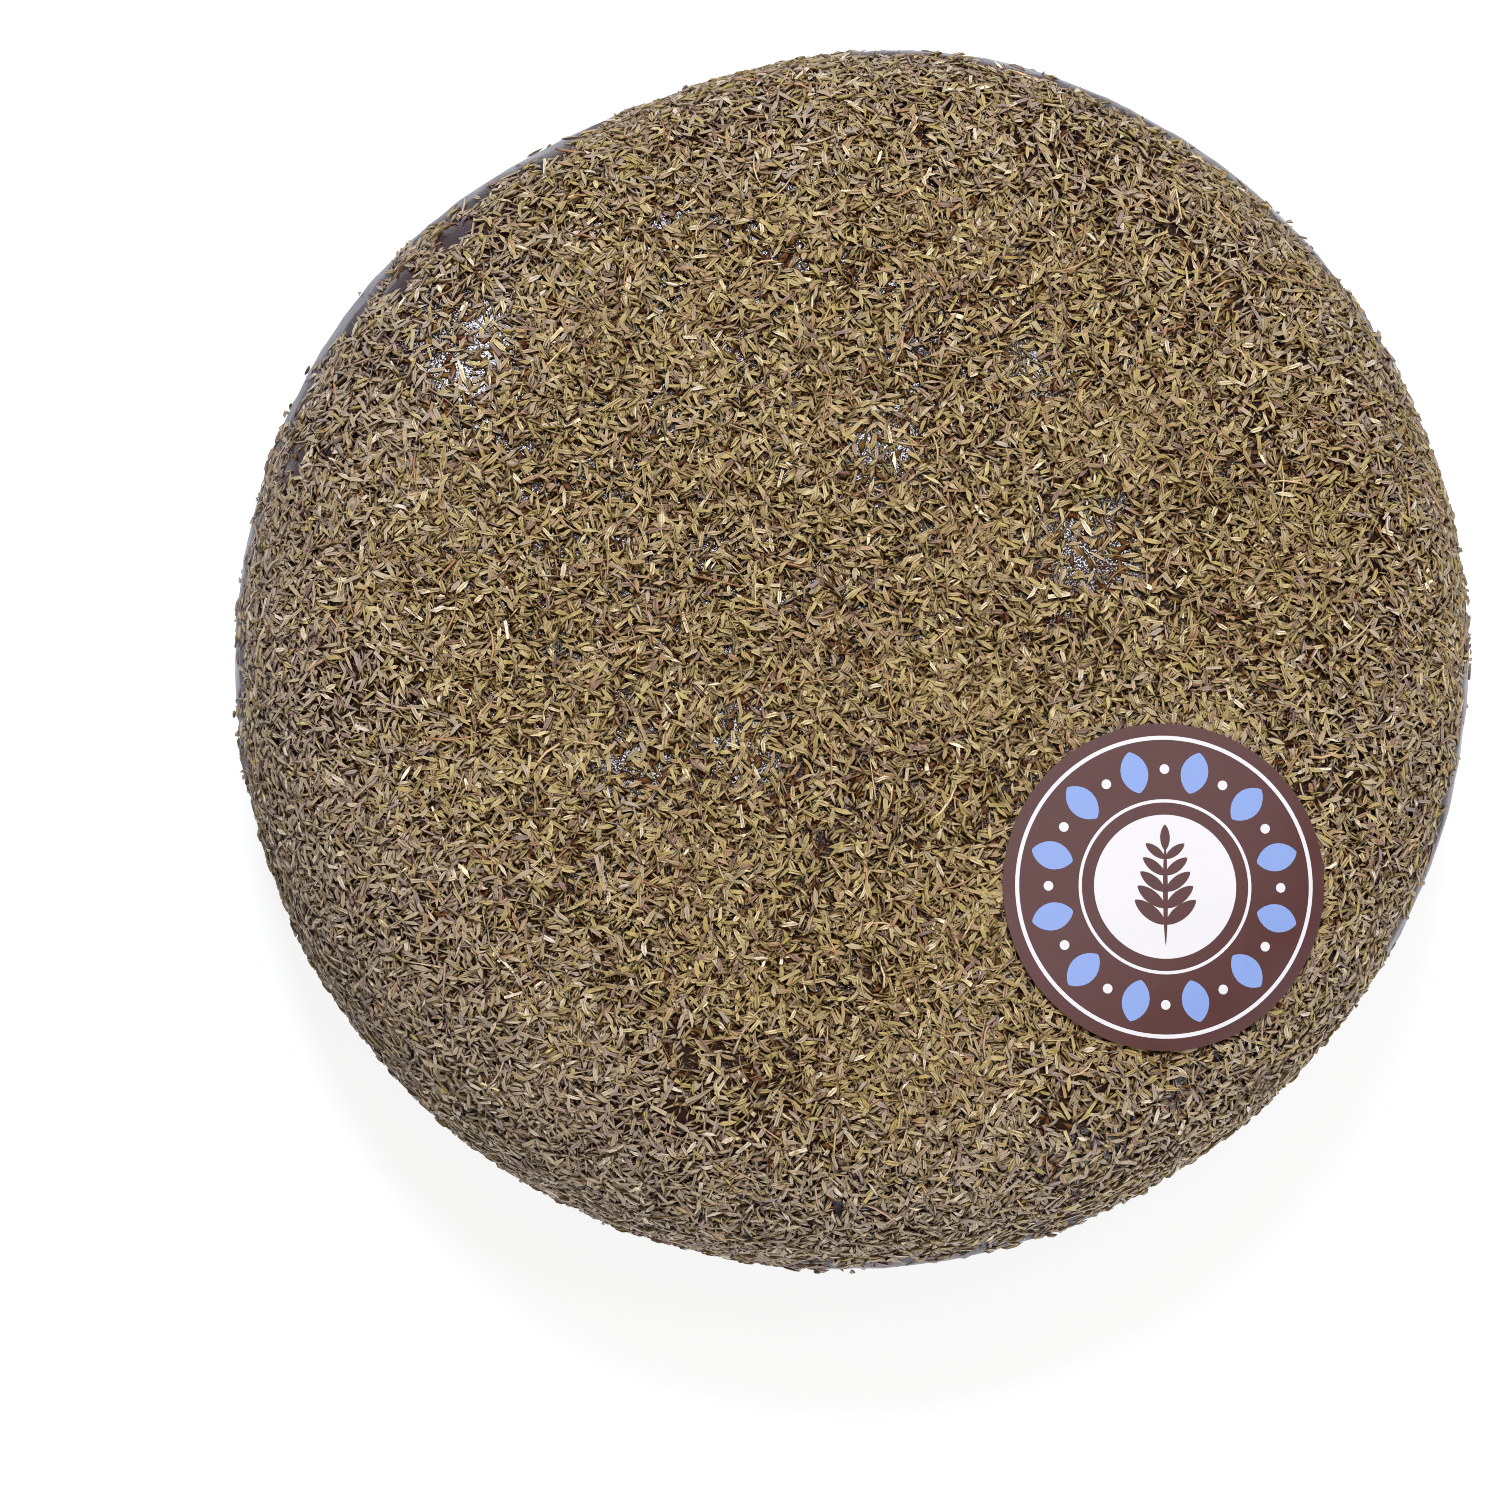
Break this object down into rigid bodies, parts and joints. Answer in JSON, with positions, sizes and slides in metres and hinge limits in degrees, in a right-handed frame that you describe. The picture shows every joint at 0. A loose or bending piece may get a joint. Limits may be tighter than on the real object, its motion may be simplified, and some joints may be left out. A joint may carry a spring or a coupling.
{
  "type": "cheese wheel",
  "caption": "Whole round cheese with bulging sides, a dark coat crusted with dried herb leaves and a round paper label off centre on its upper face.",
  "frame": {"origin": "middle of the wheel's plan at the height of its flat foot", "axes": "+Z up along the wheel's axis, out of the labelled face; +X to the right and +Y up as the picture shows that face"},
  "size_m": [0.2554, 0.2526, 0.0927],
  "materials": {
    "herb_crust": "dark glossy coat crusted with matte dried herb leaves",
    "label_paper": "satin printed paper"
  },
  "bodies": {
    "root": {"cheese_wheel": "herb_crust", "label": "label_paper"}
  },
  "joints": []
}
